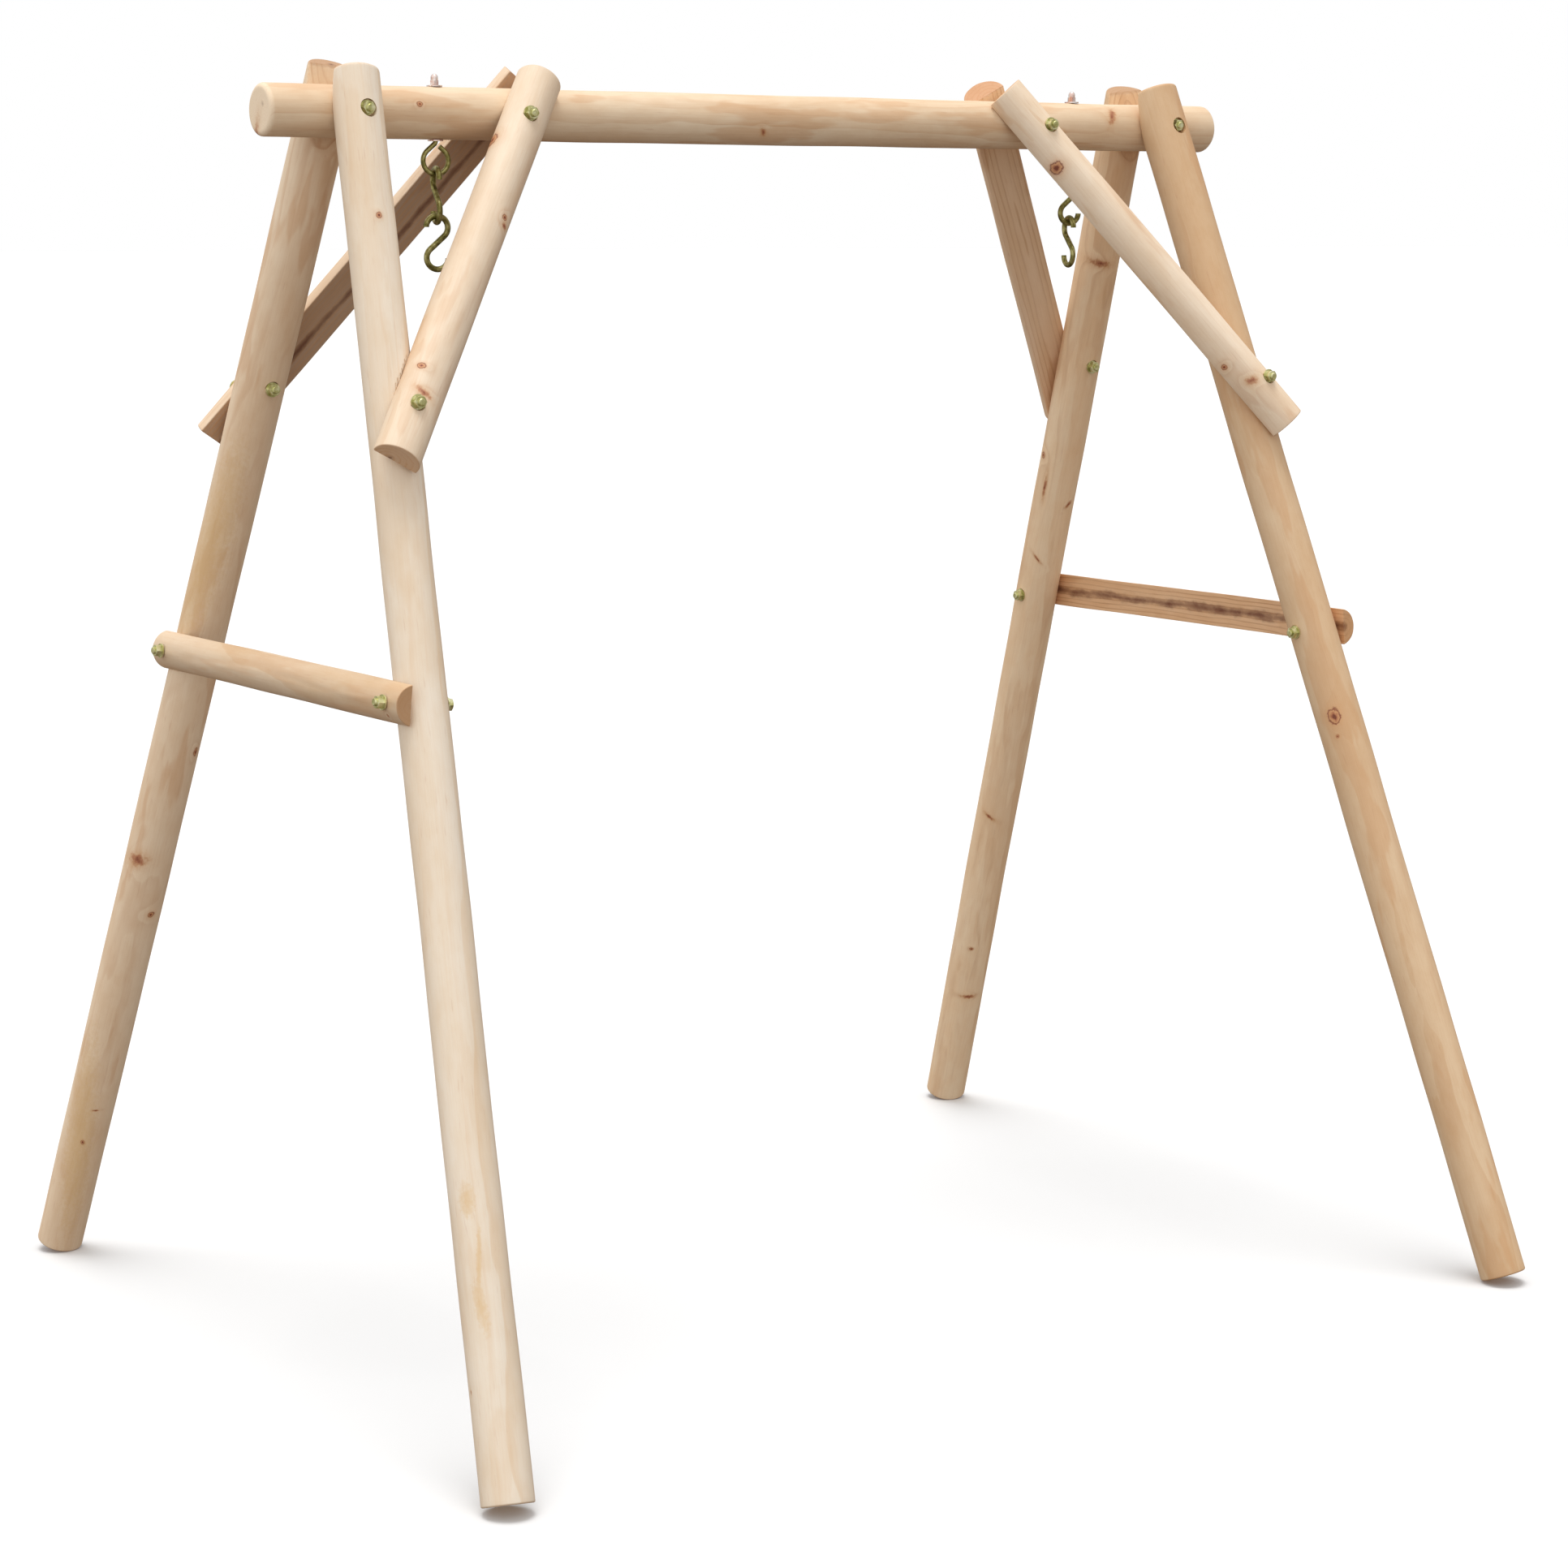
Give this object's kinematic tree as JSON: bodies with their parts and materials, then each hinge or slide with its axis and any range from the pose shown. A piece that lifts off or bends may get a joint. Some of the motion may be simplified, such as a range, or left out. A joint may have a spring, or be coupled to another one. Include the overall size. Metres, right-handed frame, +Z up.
{
  "type": "swing set",
  "caption": "A-frame swing stand of peeled logs: round beam on splayed legs with half-log braces and spreaders, eye bolts and chained S hooks for a hanging bench.",
  "frame": {"origin": "on the floor, in the middle between the four feet", "axes": "+X along the beam to the right, +Y to the back, +Z up"},
  "size_m": [2.1479, 1.7273, 2.1072],
  "materials": {
    "peeled_log": "smooth peeled pine log, unpainted, knots and long grain",
    "peeled_log_pale": "pale peeled pine log, unpainted",
    "half_log": "half log, sawn flat with a dark pith streak, round side peeled",
    "yellow_zinc": "yellow zinc plated steel",
    "bright_zinc": "bright zinc plated steel"
  },
  "bodies": {
    "stand": {"beam": "peeled_log", "leg_front_left": "peeled_log_pale", "leg_rear_left": "peeled_log", "leg_front_right": "peeled_log", "leg_rear_right": "peeled_log", "brace_front_left": "half_log", "brace_front_right": "half_log", "brace_rear_left": "half_log", "brace_rear_right": "half_log", "spreader_left": "half_log", "spreader_right": "half_log", "leg_bolts": "yellow_zinc", "leg_nuts": "yellow_zinc", "leg_washers": "yellow_zinc", "brace_top_bolts": "yellow_zinc", "brace_top_nuts": "yellow_zinc", "brace_top_washers": "yellow_zinc", "brace_low_bolts": "yellow_zinc", "brace_low_nuts": "yellow_zinc", "brace_low_washers": "yellow_zinc", "spreader_bolts": "yellow_zinc", "spreader_nuts": "yellow_zinc", "spreader_washers": "yellow_zinc", "eye_bolt_left": "yellow_zinc", "eye_bolt_right": "yellow_zinc", "eye_washers_low": "bright_zinc", "eye_washers_top": "bright_zinc", "acorn_nuts": "bright_zinc"},
    "upper_hook_left": {"hook_upper_left": "yellow_zinc"},
    "lower_hook_left": {"hook_lower_left": "yellow_zinc"},
    "upper_hook_right": {"hook_upper_right": "yellow_zinc"},
    "lower_hook_right": {"hook_lower_right": "yellow_zinc"}
  },
  "joints": [
    {"name": "upper_hook_left_swing", "type": "hinge", "parent": "stand", "child": "upper_hook_left", "pos_m": [-0.653, 0, 1.9303], "axis": [0.9759, -0.2181, 0], "range_deg": [-45, 45]},
    {"name": "lower_hook_left_swing", "type": "hinge", "parent": "upper_hook_left", "child": "lower_hook_left", "pos_m": [-0.653, 0, 1.85555], "axis": [0.2181, 0.9759, 0], "range_deg": [-60, 60]},
    {"name": "upper_hook_right_swing", "type": "hinge", "parent": "stand", "child": "upper_hook_right", "pos_m": [0.653, 0, 1.9303], "axis": [0.2181, 0.9759, 0], "range_deg": [-60, 60]},
    {"name": "lower_hook_right_swing", "type": "hinge", "parent": "upper_hook_right", "child": "lower_hook_right", "pos_m": [0.653, 0, 1.85555], "axis": [0.9759, -0.2181, 0], "range_deg": [-60, 60]}
  ]
}
